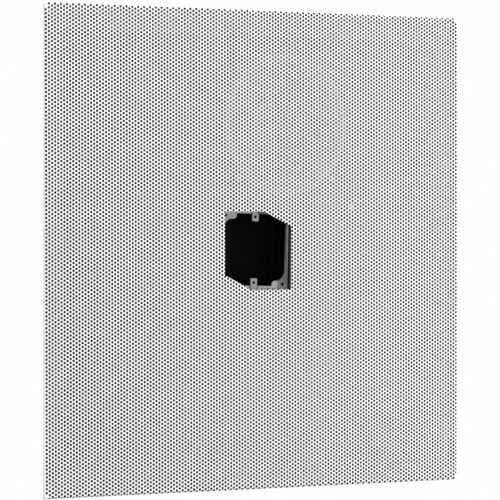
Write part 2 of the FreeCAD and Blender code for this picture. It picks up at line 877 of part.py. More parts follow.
def terminal_block():
    """Barrier strip: base with end ears, ribs between the terminals and screw bores."""
    top = baffle_rear + block_height
    base = block(block_length, block_width, baffle_rear, top)
    for i in range(pole_count + 1):
        rib_x = (i - pole_count / 2) * pole_pitch
        base = base.fuse(block(barrier_thick, block_width, top, top + barrier_height, rib_x))
    for side in (-1, 1):
        base = base.cut(disc(screw_hole, baffle_rear, top, side * block_screw_reach))
    for x in pole_offsets():
        for side in (-1, 1):
            base = base.cut(disc(screw_hole, top - block_height / 2, top, x, side * plate_run / 4))
    return placed(base.removeSplitter(), block_x, block_y)


def terminal_screws():
    """Clamp plates of the terminals, each with its two slotted screws."""
    top = baffle_rear + block_height
    poles = []
    for x in pole_offsets():
        leaf = block(plate_edge, plate_run, top, top + plate_leaf, x)
        for side in (-1, 1):
            y = side * plate_run / 4
            head = disc(pole_screw_radius, top + plate_leaf, top + plate_leaf + pole_screw_height, x, y)
            slot_low = top + plate_leaf + pole_screw_height / 2
            slot = block(2 * pole_screw_radius, barrier_thick / 2, slot_low, slot_low + pole_screw_height, x, y)
            shank = disc(screw_radius, top - block_height / 3, top, x, y)
            leaf = leaf.fuse(head.cut(slot)).fuse(shank)
        poles.append(placed(leaf.removeSplitter(), block_x, block_y))
    return group(poles)


def fixing_screw(head_front, tip):
    """Pan-head screw driven towards the face, with its head on the rear side."""
    screw = face_screw(0, head_front - tip)
    screw.rotate(ORIGIN, vec(1, 0, 0), 180)
    screw.translate(vec(0, 0, head_front))
    return screw


def block_screws():
    """Screws that hold the terminal block to the baffle plate."""
    one = fixing_screw(baffle_rear + block_height, baffle_front - screw_past_nut)
    return group([placed(one, x, y) for x, y in block_places()])


def cable_clip():
    """Moulded clip: a loop for a cable and a doubled foot for its screw."""
    loop_y = clip_foot / 2 + clip_loop_radius
    outer = clip_loop_radius + clip_wall
    middle = baffle_rear + outer
    axis = vec(1, 0, 0)
    start = vec(-clip_width / 2, loop_y, middle)
    loop = Part.makeCylinder(outer, clip_width, start, axis)
    foot = block(clip_width, clip_foot, baffle_rear, baffle_rear + 2 * clip_wall, 0, 0)
    web = block(clip_width, loop_y, baffle_rear, baffle_rear + 2 * clip_wall, 0, loop_y / 2)
    clip = loop.fuse(foot).fuse(web).removeSplitter()
    clip = clip.cut(Part.makeCylinder(clip_loop_radius, clip_width, start, axis))
    clip = clip.cut(disc(screw_hole, baffle_rear, baffle_rear + 2 * clip_wall))
    return placed(clip, clip_x, clip_y)


def clip_screw():
    """Screw of the cable clip, its head towards the face."""
    tip = baffle_rear + 2 * clip_wall + nut_height + screw_past_nut
    return placed(face_screw(baffle_front, tip), clip_x, clip_y)


def clip_nut():
    """Nut of the cable clip's screw."""
    return placed(hex_nut(baffle_rear + 2 * clip_wall), clip_x, clip_y)


def lug_places():
    """Plan places of the tie-off lugs' rivets."""
    reach = lug_corner - tie_foot / 2
    return [(sx * reach, sy * lug_corner) for sx in (-1, 1) for sy in (-1, 1)]


def tie_off_lugs():
    """Four angle lugs near the corners, each with an eye for a safety wire."""
    lugs = []
    for sx in (-1, 1):
        for sy in (-1, 1):
            x = sx * lug_corner
            y = sy * lug_corner
            foot_x = x - sx * tie_foot / 2
            foot = block(tie_foot, tie_width, baffle_rear, baffle_rear + tie_sheet, foot_x, y)
            leg = block(tie_sheet, tie_width, baffle_rear, baffle_rear + tie_height, x - sx * tie_sheet / 2, y)
            eye_height = baffle_rear + tie_height - 2 * tie_hole_radius
            eye = Part.makeCylinder(tie_hole_radius, 2 * tie_foot, vec(x - tie_foot, y, eye_height), vec(1, 0, 0))
            top = baffle_rear + tie_height
            corner_edges = [e for e in leg.Edges if e.BoundBox.YLength < 1e-6 and abs(e.BoundBox.ZMin - top) < 1e-6]
            leg = leg.makeFillet(tie_hole_radius, corner_edges)
            inside = (x - sx * tie_sheet, baffle_rear + tie_sheet)
            lug = bent(foot.fuse(leg).removeSplitter(), tie_sheet, inside, (x, baffle_rear)).cut(eye)
            lug = lug.cut(disc(rivet_hole, baffle_rear, baffle_rear + tie_sheet, foot_x, y))
            lugs.append(lug)
    return group(lugs)


def lug_rivets():
    """Rivets of the tie-off lugs."""
    one = rivet(baffle_rear + tie_sheet, baffle_front)
    return group([placed(one, x, y) for x, y in lug_places()])


pieces = {
    "face_panel": face_panel,
    "baffle_plate": baffle_plate,
    "baffle_rivets": baffle_rivets,
    "box_ring": box_ring,
    "outlet_box": outlet_box,
    "box_bracket_left": lambda: box_bracket(-1),
    "box_bracket_right": lambda: box_bracket(1),
    "bracket_rivets": bracket_rivets,
    "driver_basket": driver_basket,
    "driver_gasket": driver_gasket,
    "surround": surround,
    "cone": cone,
    "whizzer_cone": whizzer_cone,
    "dust_cap": dust_cap,
    "coil_former": coil_former,
    "coil_winding": coil_winding,
    "spider": spider,
    "top_plate": top_plate,
    "magnet": magnet,
    "pole_yoke": pole_yoke,
    "terminal_board": terminal_board,
    "board_rivet": board_rivet,
    "terminal_lugs": terminal_lugs,
    "driver_screws": driver_screws,
    "driver_nuts": driver_nuts,
    "transformer_core": transformer_core,
    "transformer_bobbin": transformer_bobbin,
    "transformer_winding": transformer_winding,
    "transformer_strap": transformer_strap,
    "transformer_rivets": transformer_rivets,
    "terminal_block": terminal_block,
    "terminal_screws": terminal_screws,
    "block_screws": block_screws,
    "cable_clip": cable_clip,
    "clip_screw": clip_screw,
    "clip_nut": clip_nut,
    "tie_off_lugs": tie_off_lugs,
    "lug_rivets": lug_rivets,
}

for name, make in pieces.items():
    shape = make()
    save(name, shape)
    print(name, len(shape.Solids), "solids, valid", shape.isValid(), round(shape.Volume / 1000, 2), "cm3")
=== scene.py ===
# %% [markdown]
# # Ceiling tile speaker
# A lay-in tile for a suspended ceiling. Its face is a white perforated sheet folded round the edges.
# A black baffle plate behind it carries an eight-inch driver, a line transformer and a device box.
# The solids come in ready-made as the frame. This script adds the perforation, the finishes and the light.

# %% Load the frame
import json
import math

import bmesh
import bpy
import numpy as np
from mathutils import Matrix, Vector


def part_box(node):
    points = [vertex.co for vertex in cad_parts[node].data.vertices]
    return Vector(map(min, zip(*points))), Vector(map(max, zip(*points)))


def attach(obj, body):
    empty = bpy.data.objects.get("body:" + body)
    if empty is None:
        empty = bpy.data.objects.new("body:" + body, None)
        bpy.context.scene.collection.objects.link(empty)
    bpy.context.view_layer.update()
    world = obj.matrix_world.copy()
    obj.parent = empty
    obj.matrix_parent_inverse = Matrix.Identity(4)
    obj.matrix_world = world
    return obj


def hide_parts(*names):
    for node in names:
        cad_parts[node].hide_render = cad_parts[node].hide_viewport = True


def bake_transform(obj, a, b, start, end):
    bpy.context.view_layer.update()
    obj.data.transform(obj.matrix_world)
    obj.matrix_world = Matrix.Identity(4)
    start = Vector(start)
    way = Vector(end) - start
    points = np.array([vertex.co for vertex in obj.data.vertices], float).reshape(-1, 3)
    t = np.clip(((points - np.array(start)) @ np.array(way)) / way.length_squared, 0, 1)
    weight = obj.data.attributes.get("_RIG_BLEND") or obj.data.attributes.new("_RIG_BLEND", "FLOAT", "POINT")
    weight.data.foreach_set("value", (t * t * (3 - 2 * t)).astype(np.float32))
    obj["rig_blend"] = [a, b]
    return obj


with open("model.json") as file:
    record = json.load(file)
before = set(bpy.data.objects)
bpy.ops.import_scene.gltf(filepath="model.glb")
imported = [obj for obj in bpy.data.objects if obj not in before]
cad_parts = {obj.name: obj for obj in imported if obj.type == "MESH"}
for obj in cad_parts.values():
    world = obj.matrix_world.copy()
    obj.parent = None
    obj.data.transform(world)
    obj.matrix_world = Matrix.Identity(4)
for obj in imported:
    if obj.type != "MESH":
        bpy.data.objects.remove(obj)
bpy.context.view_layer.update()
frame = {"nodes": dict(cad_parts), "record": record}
nodes = frame["nodes"]
MM = 0.001

# %% [markdown]
# ## The perforated sheet
# The sheet has about eighteen thousand round holes in staggered columns. Boolean cuts would take
# minutes, and a picture of holes would not let light through. The pattern repeats, though: one hole
# owns a patch of ten triangles between itself and its six neighbours. So the patch is worked out once
# and added to every hole's centre, as one array. Patches that meet the window or the edge are trimmed.

# %% Sizes of the sheet, in millimetres
SIDE = 603.25
HALF = SIDE / 2
DEPTH = 9.5
SHEET = 0.8
CORNER = 4.0
BEND = 3.0
RETURN_BEND = 1.5
RETURN = 32.0
MITRE = 0.6
PITCH_X = 4.08
PITCH_Y = 4.7625
HOLE_RADIUS = 1.7
COLUMNS = 148
FIRST_ROW, LAST_ROW = -127, 126
PATTERN_SHIFT = np.array([-1.2, 0.27])
PATTERN_TURN = math.radians(-0.2)
SIDES = 8
FACETS = 4
# Room from a hole's centre to the end of the sheet and to a corner, and width of the strip that is trimmed
EDGE_ROOM = 1.4 * HOLE_RADIUS
CORNER_ROOM = 1.1 * HOLE_RADIUS
TRIM_REACH = 2 * PITCH_Y
FLAT = HALF - BEND
ARC = (BEND - SHEET / 2) * math.pi / 2
REACH = FLAT + ARC
SQUARE = HALF - CORNER
print("holes per column", (LAST_ROW - FIRST_ROW + 1) // 2, "columns", COLUMNS)

# %% One patch of the web between the holes


def rim(step_x, step_y, *corners):
    """Rim points of the hole that lies so many half pitches away: centre plus radius times (cos, sin)."""
    turn = np.array(corners) * 2 * np.pi / SIDES
    radius = HOLE_RADIUS * math.sqrt(2 * np.pi / SIDES / math.sin(2 * np.pi / SIDES))
    centre = np.array([step_x * PITCH_X, step_y * PITCH_Y / 2])
    return centre + radius * np.c_[np.cos(turn), np.sin(turn)]


def fan(apex, chain):
    """Triangles from one point to each step of a chain of points."""
    first = np.repeat(apex[None], len(chain) - 1, axis=0)
    return np.stack([first, chain[:-1], chain[1:]], axis=1)


right_chain = np.vstack([rim(0, 0, 1), rim(1, 1, 5, 6), rim(1, -1, 2, 3), rim(0, 0, 7)])
left_chain = np.vstack([rim(0, 0, 5), rim(-1, -1, 1, 2), rim(-1, 1, 6, 7), rim(0, 0, 3)])
web = np.vstack([fan(rim(0, 0, 0)[0], right_chain), fan(rim(0, 0, 4)[0], left_chain)])
plug = fan(rim(0, 0, 0)[0], rim(0, 0, *range(7, 0, -1)))
print("triangles in a patch", len(web))

# %% All the hole centres, with a few more rows and columns than the sheet has
SPARE_COLUMNS, SPARE_ROWS = 3, 6
all_columns = np.arange(-SPARE_COLUMNS, COLUMNS + SPARE_COLUMNS)
all_rows = np.arange(FIRST_ROW - SPARE_ROWS, LAST_ROW + SPARE_ROWS + 1)
column, row = np.meshgrid(all_columns, all_rows, indexing="ij")
staggered = (column + row) % 2 == 0
column, row = column[staggered], row[staggered]
laid_out = np.c_[(column - (COLUMNS - 1) / 2) * PITCH_X, row * PITCH_Y / 2]
pattern_turn = np.array([
    [math.cos(PATTERN_TURN), math.sin(PATTERN_TURN)],
    [-math.sin(PATTERN_TURN), math.cos(PATTERN_TURN)],
])
centres = laid_out @ pattern_turn + PATTERN_SHIFT
in_corner = (np.abs(centres) > SQUARE - CORNER_ROOM).all(axis=1)
on_sheet = (np.abs(laid_out + PATTERN_SHIFT) < REACH - EDGE_ROOM).all(axis=1)
in_pattern = (column >= 0) & (column < COLUMNS) & (row >= FIRST_ROW) & (row <= LAST_ROW)
drilled = in_pattern & on_sheet & ~in_corner
print("holes", int(drilled.sum()))

# %% [markdown]
# ### Trimming triangles with a straight line
# Every cut on this sheet is straight: the six sides of the window, the edge of the sheet and the lines
# where the bend is faceted. A line splits a triangle into at most three, so whole arrays are cut at once.

# %% Straight cuts


def keep_side(tris, normal, offset):
    """Parts of triangles where normal dot point is at most offset; crossing sides are cut in proportion."""
    depth = tris @ np.asarray(normal, float) - offset
    inside = depth <= 0
    count = inside.sum(axis=1)

    def from_corner(chosen, corner):
        """Corners in turn from the given one, and the cuts on the two sides that meet there."""
        order = (corner[:, None] + np.arange(3)) % 3
        points = np.take_along_axis(tris[chosen], order[:, :, None], axis=1)
        d = np.take_along_axis(depth[chosen], order, axis=1)
        a, b, c = points[:, 0], points[:, 1], points[:, 2]
        ab = a + (b - a) * (d[:, :1] / (d[:, :1] - d[:, 1:2]))
        ac = a + (c - a) * (d[:, :1] / (d[:, :1] - d[:, 2:3]))
        return a, b, c, ab, ac

    a, b, c, ab, ac = from_corner(count == 1, inside[count == 1].argmax(axis=1))
    tips = np.stack([a, ab, ac], axis=1)
    a, b, c, ab, ac = from_corner(count == 2, (~inside[count == 2]).argmax(axis=1))
    halves = np.vstack([np.stack([ab, b, c], axis=1), np.stack([ab, c, ac], axis=1)])
    return np.vstack([tris[count == 3], tips, halves])


def split(tris, normal, offset):
    """Both sides of a straight cut."""
    other = -np.asarray(normal, float)
    return np.vstack([keep_side(tris, normal, offset), keep_side(tris, other, -offset)])


def in_band(tris, axis, low, high):
    """The parts of triangles between two limits of one coordinate."""
    normal = np.eye(2)[axis]
    return keep_side(keep_side(tris, normal, high), -normal, -low)


sample = np.array([[(0.0, 0.0), (1.0, 0.0), (0.0, 1.0)]])
print("a triangle split down the middle gives", len(split(sample, (1, 0), 0.5)))

# %% The window: a square with two opposite corners cut off
LEFT, RIGHT, TOP, BOTTOM = -48.5, 48.0, -47.7, 50.3
CUT_X, CUT_Y = 38.0, 18.5
window = np.array([
    (LEFT, TOP), (RIGHT - CUT_X, TOP), (RIGHT, TOP + CUT_Y),
    (RIGHT, BOTTOM), (LEFT + CUT_X, BOTTOM), (LEFT, BOTTOM - CUT_Y),
])
window_run = np.roll(window, -1, axis=0) - window
window_normals = np.c_[window_run[:, 1], -window_run[:, 0]] / np.hypot(*window_run.T)[:, None]
window_offsets = (window_normals * window).sum(axis=1)


def past_window(points):
    """Signed distance of points outside the window's sides: the largest of the six."""
    return (points @ window_normals.T - window_offsets).max(axis=-1)


def without_window(tris):
    """Triangles with the window taken out.

    What lies outside side one is kept, then of the rest what lies outside side two, and so on.
    """
    kept, rest = [], tris
    for normal, offset in zip(window_normals, window_offsets):
        kept.append(keep_side(rest, -normal, -offset))
        rest = keep_side(rest, normal, offset)
    return np.vstack(kept)


print("window", np.ptp(window, axis=0), "mm")

# %% [markdown]
# ### From the flat pattern to the folded sheet
# The sheet is perforated first and folded afterwards, so the pattern is laid out flat here and then
# bent: past the start of the bend a length becomes an angle. The front follows the outer radius of
# the bend and the rear follows the inner one. Rim edges that belong to one triangle only get a wall.

# %% Bend and thicken
# Marks on the faces that have no powder coat; the hole walls share the primer's mark, partly painted shade
PRIMER_AND_WALL_SHADE, RAW = 0.5, 1.0


def folded(flat, depth):
    """Flat layout to space: length past the bend line over the middle radius is the bend's angle."""
    over = np.maximum(np.abs(flat) - FLAT, 0)
    angle = np.minimum(over / (BEND - SHEET / 2), np.pi / 2)
    radius = BEND - depth
    place = np.sign(flat) * (np.minimum(np.abs(flat), FLAT) + radius * np.sin(angle))
    rise = radius * (1 - np.cos(angle))
    return np.c_[place, depth + rise.sum(axis=1)]


def thickened(tris):
    """Sheet from flat triangles: front, turned rear, and walls on edges that only one triangle has."""
    keys = np.round(tris.reshape(-1, 2) * 1e4).astype(np.int64)
    _, first, index = np.unique(keys[:, 0] * 2**32 + keys[:, 1], return_index=True, return_inverse=True)
    flat = tris.reshape(-1, 2)[first]
    faces = index.reshape(-1, 3)
    real = (faces != np.roll(faces, 1, axis=1)).all(axis=1)
    faces = faces[real]
    start, end = faces.ravel(), np.roll(faces, -1, axis=1).ravel()
    count = len(flat)
    open_edge = ~np.isin(start * count + end, end * count + start)
    a, b = start[open_edge], end[open_edge]
    walls = np.vstack([np.c_[b, a, a + count], np.c_[b, a + count, b + count]])
    points = np.vstack([folded(flat, 0.0), folded(flat, SHEET)])
    on_window = np.abs(past_window(flat)) < 1e-3
    raw = np.tile(on_window[a] & on_window[b], 2)
    everything = np.vstack([faces, faces[:, ::-1] + count, walls])
    # Hole walls, bare metal, get the primer's dark colour, which is partly painted shade
    bare = np.concatenate([np.zeros(len(faces)), np.full(len(faces), PRIMER_AND_WALL_SHADE), np.where(raw, RAW, PRIMER_AND_WALL_SHADE)])
    return points, everything, bare


print("the bend ends at", folded(np.array([[REACH, 0.0]]), 0.0).round(3).tolist(), "mm")

# %% Meshes from points and faces


def piece(name, points, faces, bare):
    """Mesh object from points in millimetres, riding on the tile; bare is 0 on painted faces."""
    mesh = bpy.data.meshes.new(name)
    if isinstance(faces, np.ndarray):
        mesh.vertices.add(len(points))
        mesh.vertices.foreach_set("co", (points * MM).ravel())
        mesh.loops.add(faces.size)
        mesh.loops.foreach_set("vertex_index", faces.ravel().astype(np.int32))
        mesh.polygons.add(len(faces))
        mesh.polygons.foreach_set("loop_start", np.arange(0, faces.size, faces.shape[1], dtype=np.int32))
        mesh.update(calc_edges=True)
        mesh.validate()
    else:
        mesh.from_pydata((points * MM).tolist(), [], faces)
    mesh.attributes.new("bare", "FLOAT", "FACE").data.foreach_set("value", np.asarray(bare, np.float32))
    mesh.set_sharp_from_angle(angle=math.radians(50))
    made = bpy.data.objects.new(name, mesh)
    bpy.context.collection.objects.link(made)
    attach(made, "tile")
    return made


# %% Web of the sheet, trimmed where the window and the edges are
near_edge = (np.abs(centres) > FLAT - TRIM_REACH).any(axis=1)
near_window = past_window(centres) < TRIM_REACH
inside_window = past_window(centres) < -TRIM_REACH
plain = drilled & ~near_edge & ~near_window


def patches(chosen, pattern):
    """The pattern's triangles at every chosen centre."""
    return (centres[chosen][:, None, None] + pattern @ pattern_turn).reshape(-1, 3, 2)


def edge_parts(tris):
    """Trimmed to the sheet without its corner squares, and split along the facets of the bend."""
    sides = in_band(in_band(tris, 1, -SQUARE, SQUARE), 0, -REACH, REACH)
    ends = [in_band(tris, 1, *limits) for limits in ((SQUARE, REACH), (-REACH, -SQUARE))]
    ends = in_band(np.vstack(ends), 0, -SQUARE, SQUARE)
    parts = np.vstack([sides, ends])
    for facet in range(FACETS):
        line = FLAT + ARC * facet / FACETS
        for normal in ((1, 0), (-1, 0), (0, 1), (0, -1)):
            parts = split(parts, normal, line)
    return parts


sheet_pieces = []
bands_x, bands_y = 3, 2
group_x = np.clip(((centres[:, 0] / HALF + 1) / 2 * bands_x).astype(int), 0, bands_x - 1)
group_y = np.clip(((centres[:, 1] / HALF + 1) / 2 * bands_y).astype(int), 0, bands_y - 1)
for band in range(bands_x * bands_y):
    here = group_x * bands_y + group_y == band
    inner = patches(here & plain, web)
    at_window = patches(here & near_window & ~inside_window & drilled, web)
    at_edge = patches(here & near_edge, web)
    filled = patches(here & near_edge & ~drilled, plug)
    tris = np.vstack([inner, without_window(at_window), edge_parts(at_edge), edge_parts(filled)])
    points, faces, bare = thickened(tris)
    made = piece("perforated_face_%d" % (band + 1), points, faces, bare)
    sheet_pieces.append(made)
    print(made.name, len(made.data.polygons), "triangles")

# %% [markdown]
# ### The folded edge
# From the end of the front bend the sheet runs up, turns in again and lies flat as a return, mitred at
# the corners. A closed profile carried round a rounded square gives the upright wall and its second
# bend. The four corners of the face are quarter turns of the front bend, and the return is four plates.

# %% The upright wall: a profile carried round the outline
CORNER_STEPS = 6
AROUND = 4 * (CORNER_STEPS + 1)


def rounded_square(inset):
    """Outline moved inwards: at each corner a quarter circle with what is left of its radius."""
    turn = np.linspace(0, np.pi / 2, CORNER_STEPS + 1)
    arc = max(CORNER - inset, 0.0) * np.c_[np.cos(turn), np.sin(turn)] + min(SQUARE, HALF - inset)
    quarter = np.array([[0, 1], [-1, 0]])
    return np.vstack([arc @ np.linalg.matrix_power(quarter, k) for k in range(4)])


def bend_arc(radius, centre, start, end, steps=FACETS):
    """Points of a bend's profile: centre plus radius times (cos, sin)."""
    turn = np.radians(np.linspace(start, end, steps + 1))
    return np.array(centre) + radius * np.c_[np.cos(turn), np.sin(turn)]


top_centre = (RETURN_BEND, DEPTH - RETURN_BEND)
outer_line = np.vstack([[(0, BEND)], bend_arc(RETURN_BEND, top_centre, 180, 90), [(CORNER, DEPTH)]])
inner_line = np.vstack([
    [(CORNER, DEPTH - SHEET)],
    bend_arc(RETURN_BEND - SHEET, top_centre, 90, 180),
    [(SHEET, BEND)],
])
profile = np.vstack([outer_line, inner_line])
wall_points = np.vstack([np.c_[rounded_square(inset), np.full(AROUND, z)] for inset, z in profile])


def loops_joined(rows, around):
    """Quads between successive closed loops, the last loop joined to the first."""
    i, k = np.meshgrid(np.arange(rows), np.arange(around), indexing="ij")
    i2, k2 = (i + 1) % rows, (k + 1) % around
    quads = np.stack([i * around + k, i * around + k2, i2 * around + k2, i2 * around + k], axis=-1)
    return quads.reshape(-1, 4)


wall_faces = loops_joined(len(profile), AROUND)
print("wall", len(wall_faces), "faces")

# %% Corners of the face: the front bend turned through a quarter circle
corner_line = np.vstack([
    [(0, 0)], bend_arc(BEND, (CORNER - BEND, BEND), -90, 0),
    bend_arc(BEND - SHEET, (CORNER - BEND, BEND), 0, -90), [(0, SHEET)],
])
turns = np.linspace(0, np.pi / 2, CORNER_STEPS + 1)
corner_grid = np.stack([
    SQUARE + corner_line[None, :, 0] * np.cos(turns)[:, None],
    SQUARE + corner_line[None, :, 0] * np.sin(turns)[:, None],
    np.repeat(corner_line[None, :, 1], len(turns), axis=0),
], axis=-1)
corner_loops, loop_points = corner_grid.shape[:2]
along = loops_joined(corner_loops, loop_points)[: (corner_loops - 1) * loop_points]
first_cap = np.arange(loop_points)
last_cap = first_cap + (corner_loops - 1) * loop_points
corner_faces = along.tolist() + [first_cap[::-1].tolist(), last_cap.tolist()]
print("corner", len(corner_faces), "faces")

# %% The return: four mitred plates
near, far = HALF - RETURN, HALF - CORNER
slit = MITRE / math.sqrt(2)
plate_plan = np.array([(-near + slit, near), (near - slit, near), (far - slit, far), (-far + slit, far)])
plate = np.vstack([np.c_[plate_plan, np.full(4, DEPTH - SHEET)], np.c_[plate_plan, np.full(4, DEPTH)]])
plate_faces = np.array([(3, 2, 1, 0), (4, 5, 6, 7), (0, 1, 5, 4), (1, 2, 6, 5), (2, 3, 7, 6), (3, 0, 4, 7)])
print("return is", round(far - near, 2), "mm deep")

# %% Wall, corners and plates in one piece
quarter_turn = np.array([[0, 1, 0], [-1, 0, 0], [0, 0, 1]])
inner_side = np.arange(len(profile)) >= len(outer_line)
wall_bare = np.repeat(inner_side * PRIMER_AND_WALL_SHADE, AROUND).tolist()
corner_bare = [0.0] * len(corner_faces)
plate_bare = [PRIMER_AND_WALL_SHADE] + [0.0] * 5
edge_points, edge_faces, edge_bare = [wall_points], wall_faces.tolist(), wall_bare
base = len(wall_points)
shapes = ((corner_grid.reshape(-1, 3), corner_faces, corner_bare), (plate, plate_faces.tolist(), plate_bare))
for k in range(4):
    spin = np.linalg.matrix_power(quarter_turn, k)
    for shape, shape_faces, shape_bare in shapes:
        edge_points.append(shape @ spin)
        edge_faces += [[v + base for v in face] for face in shape_faces]
        edge_bare += shape_bare
        base += len(shape)
panel_edge = piece("panel_edge", np.vstack(edge_points), edge_faces, edge_bare)
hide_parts("face_panel")
for made in sheet_pieces:
    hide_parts("face_panel")
print("panel edge", len(panel_edge.data.polygons), "faces")

# %% [markdown]
# ### The two rings that bend
# The cone hangs in two rings of cloth: the roll round its edge and the pleated spider at its coil. The
# outer land of each stays on the frame and the inner land goes with the cone.

# %% Surround and spider, blended over their radius
cone_low, cone_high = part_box("cone")
AXIS = (cone_low + cone_high) / 2
MERGE = 0.001
SHARP = math.radians(30)


def merged_copy(node):
    """Mesh of a solid with points closer than the merge distance made one, and fresh normals."""
    mesh = nodes[node].data.copy()
    loose = bmesh.new()
    loose.from_mesh(mesh)
    bmesh.ops.remove_doubles(loose, verts=loose.verts, dist=MERGE * MM)
    loose.to_mesh(mesh)
    loose.free()
    if mesh.has_custom_normals:
        mesh.attributes.remove(mesh.attributes["custom_normal"])
    mesh.set_sharp_from_angle(angle=SHARP)
    return mesh


def bending_ring(node, held, carried):
    """Copy of a ring that follows the tile beyond radius held and the cone within radius carried.

    Between the two the weight is 3 s^2 - 2 s^3, where s is the share of the way inwards.
    """
    mesh = merged_copy(node)
    made = bpy.data.objects.new("bending_" + node, mesh)
    bpy.context.collection.objects.link(made)
    ends = [(AXIS.x + radius * MM, AXIS.y, AXIS.z) for radius in (held, carried)]
    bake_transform(made, "tile", "moving_cone", start=ends[0], end=ends[1])
    points = np.empty(3 * len(mesh.vertices), np.float32)
    mesh.vertices.foreach_get("co", points)
    x, y, _ = points.reshape(-1, 3).T / MM
    share = np.clip((held - np.hypot(x - AXIS.x / MM, y - AXIS.y / MM)) / (held - carried), 0, 1)
    weight = share * share * (3 - 2 * share)
    mesh.attributes["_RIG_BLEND"].data.foreach_set("value", weight.astype(np.float32))
    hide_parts(node)
    print(made.name, "weights", round(float(weight.min()), 3), "to", round(float(weight.max()), 3))
    return made


bending = {
    "surround": bending_ring("surround", held=90.9, carried=81.0),
    "spider": bending_ring("spider", held=41.0, carried=15.8),
}

# %% [markdown]
# ## Finishes
# Every finish is a few procedural nodes on Object coordinates, so that it stays in place on each piece
# and needs no picture. Paint gets a fine orange-peel bump, zinc gets crystals, paper gets fibres.

# %% Node helpers


class Finish:
    """A material with one Principled shader and short calls to add nodes before it."""

    def __init__(self, name, roughness, metallic=0.0):
        self.material = bpy.data.materials.new(name)
        self.material.use_nodes = True
        self.tree = self.material.node_tree
        self.shader = self.tree.nodes["Principled BSDF"]
        self.shader.inputs["Roughness"].default_value = roughness
        self.shader.inputs["Metallic"].default_value = metallic
        self.place = self.tree.nodes.new("ShaderNodeTexCoord").outputs["Object"]

    def node(self, kind, **values):
        """A new node; each value goes to the input of that name, or else to the property."""
        made = self.tree.nodes.new(kind)
        for key, value in values.items():
            if key in made.inputs:
                made.inputs[key].default_value = value
            else:
                setattr(made, key, value)
        return made

    def join(self, start, end):
        """A link from an output to an input."""
        self.tree.links.new(start, end)

    def stretched(self, scale):
        """Object coordinates stretched along the axes."""
        mapping = self.node("ShaderNodeMapping")
        mapping.inputs["Scale"].default_value = scale
        self.join(self.place, mapping.inputs["Vector"])
        return mapping.outputs["Vector"]

    def noise(self, scale, detail=3.0, place=None):
        """Cloudy factor of about 0.5, on Object coordinates unless another place is given."""
        made = self.node("ShaderNodeTexNoise", Scale=scale, Detail=detail)
        self.join(place or self.place, made.inputs["Vector"])
        return made.outputs["Fac"]

    def between(self, factor, low, high, dark=0.35, light=0.65):
        """Colour that goes from low to high as the factor goes from dark to light."""
        ramp = self.node("ShaderNodeValToRGB")
        ramp.color_ramp.elements[0].position = dark
        ramp.color_ramp.elements[1].position = light
        ramp.color_ramp.elements[0].color = (*low, 1)
        ramp.color_ramp.elements[1].color = (*high, 1)
        self.join(factor, ramp.inputs["Fac"])
        return ramp.outputs["Color"]

    def colour(self, socket):
        """Base colour of the shader."""
        self.join(socket, self.shader.inputs["Base Color"])

    def bump(self, height, strength, distance):
        """Relief that tilts the shader's normal."""
        made = self.node("ShaderNodeBump", Strength=strength, Distance=distance)
        self.join(height, made.inputs["Height"])
        self.join(made.outputs["Normal"], self.shader.inputs["Normal"])

    def gloss(self, factor, low, high):
        """Roughness that follows a factor."""
        made = self.node("ShaderNodeMapRange")
        made.inputs["To Min"].default_value = low
        made.inputs["To Max"].default_value = high
        self.join(factor, made.inputs["Value"])
        self.join(made.outputs["Result"], self.shader.inputs["Roughness"])


# %% Kinds of finish


def shade(colour, factor):
    """A colour made lighter or darker."""
    return tuple(min(c * factor, 1.0) for c in colour)


def paint(name, colour, roughness, spread=0.04, grain=900.0, bump=0.08, shine=0.5):
    """Sprayed paint: slow drifts of tone and a fine orange peel."""
    finish = Finish(name, roughness)
    finish.shader.inputs["Specular IOR Level"].default_value = shine
    finish.colour(finish.between(finish.noise(14.0), shade(colour, 1 - spread), shade(colour, 1 + spread)))
    finish.bump(finish.noise(grain, 2.0), bump, 0.0002)
    return finish


def metal(name, colour, roughness, scale=(1, 1, 1), grain=300.0, spread=0.12):
    """Bare metal: streaks or clouds in tone and gloss."""
    finish = Finish(name, roughness, 1.0)
    streaks = finish.noise(grain, 4.0, finish.stretched(scale))
    finish.colour(finish.between(streaks, shade(colour, 1 - spread), shade(colour, 1 + spread)))
    finish.gloss(streaks, roughness - 0.08, roughness + 0.08)
    return finish


def zinc(name, colour, roughness, metallic=0.75, shine=0.5):
    """Galvanised sheet: flat crystals of slightly different grey."""
    finish = Finish(name, roughness, metallic)
    finish.shader.inputs["Specular IOR Level"].default_value = shine
    crystals = finish.node("ShaderNodeTexVoronoi", Scale=140.0)
    finish.join(finish.place, crystals.inputs["Vector"])
    tone = finish.node("ShaderNodeRGBToBW")
    finish.join(crystals.outputs["Color"], tone.inputs["Color"])
    finish.colour(finish.between(tone.outputs["Val"], shade(colour, 0.86), shade(colour, 1.1), 0.2, 0.8))
    finish.gloss(tone.outputs["Val"], roughness - 0.08, roughness + 0.1)
    return finish


def fibre(name, colour, roughness, scale=260.0, spread=0.25, bump=0.3):
    """Paper, board or cloth: short fibres in tone and relief."""
    finish = Finish(name, roughness)
    hairs = finish.noise(scale, 6.0)
    finish.colour(finish.between(hairs, shade(colour, 1 - spread), shade(colour, 1 + spread)))
    finish.bump(finish.noise(scale * 4, 3.0), bump, 0.0003)
    return finish


def moulded(name, colour, roughness):
    """Moulded plastic: almost even, with a faint grain."""
    finish = Finish(name, roughness)
    finish.colour(finish.between(finish.noise(60.0), shade(colour, 0.93), shade(colour, 1.05)))
    finish.bump(finish.noise(1500.0, 2.0), 0.1, 0.0001)
    return finish


def ruled(name, colour, roughness, direction, scale, metallic, depth):
    """Fine parallel lines: laminations, turns of wire or tape."""
    finish = Finish(name, roughness, metallic)
    lines = finish.node("ShaderNodeTexWave", Scale=scale, Distortion=0.6, bands_direction=direction)
    finish.join(finish.place, lines.inputs["Vector"])
    finish.colour(finish.between(lines.outputs["Fac"], shade(colour, 0.7), shade(colour, 1.1), 0.2, 0.6))
    finish.bump(lines.outputs["Fac"], depth, 0.0003)
    return finish
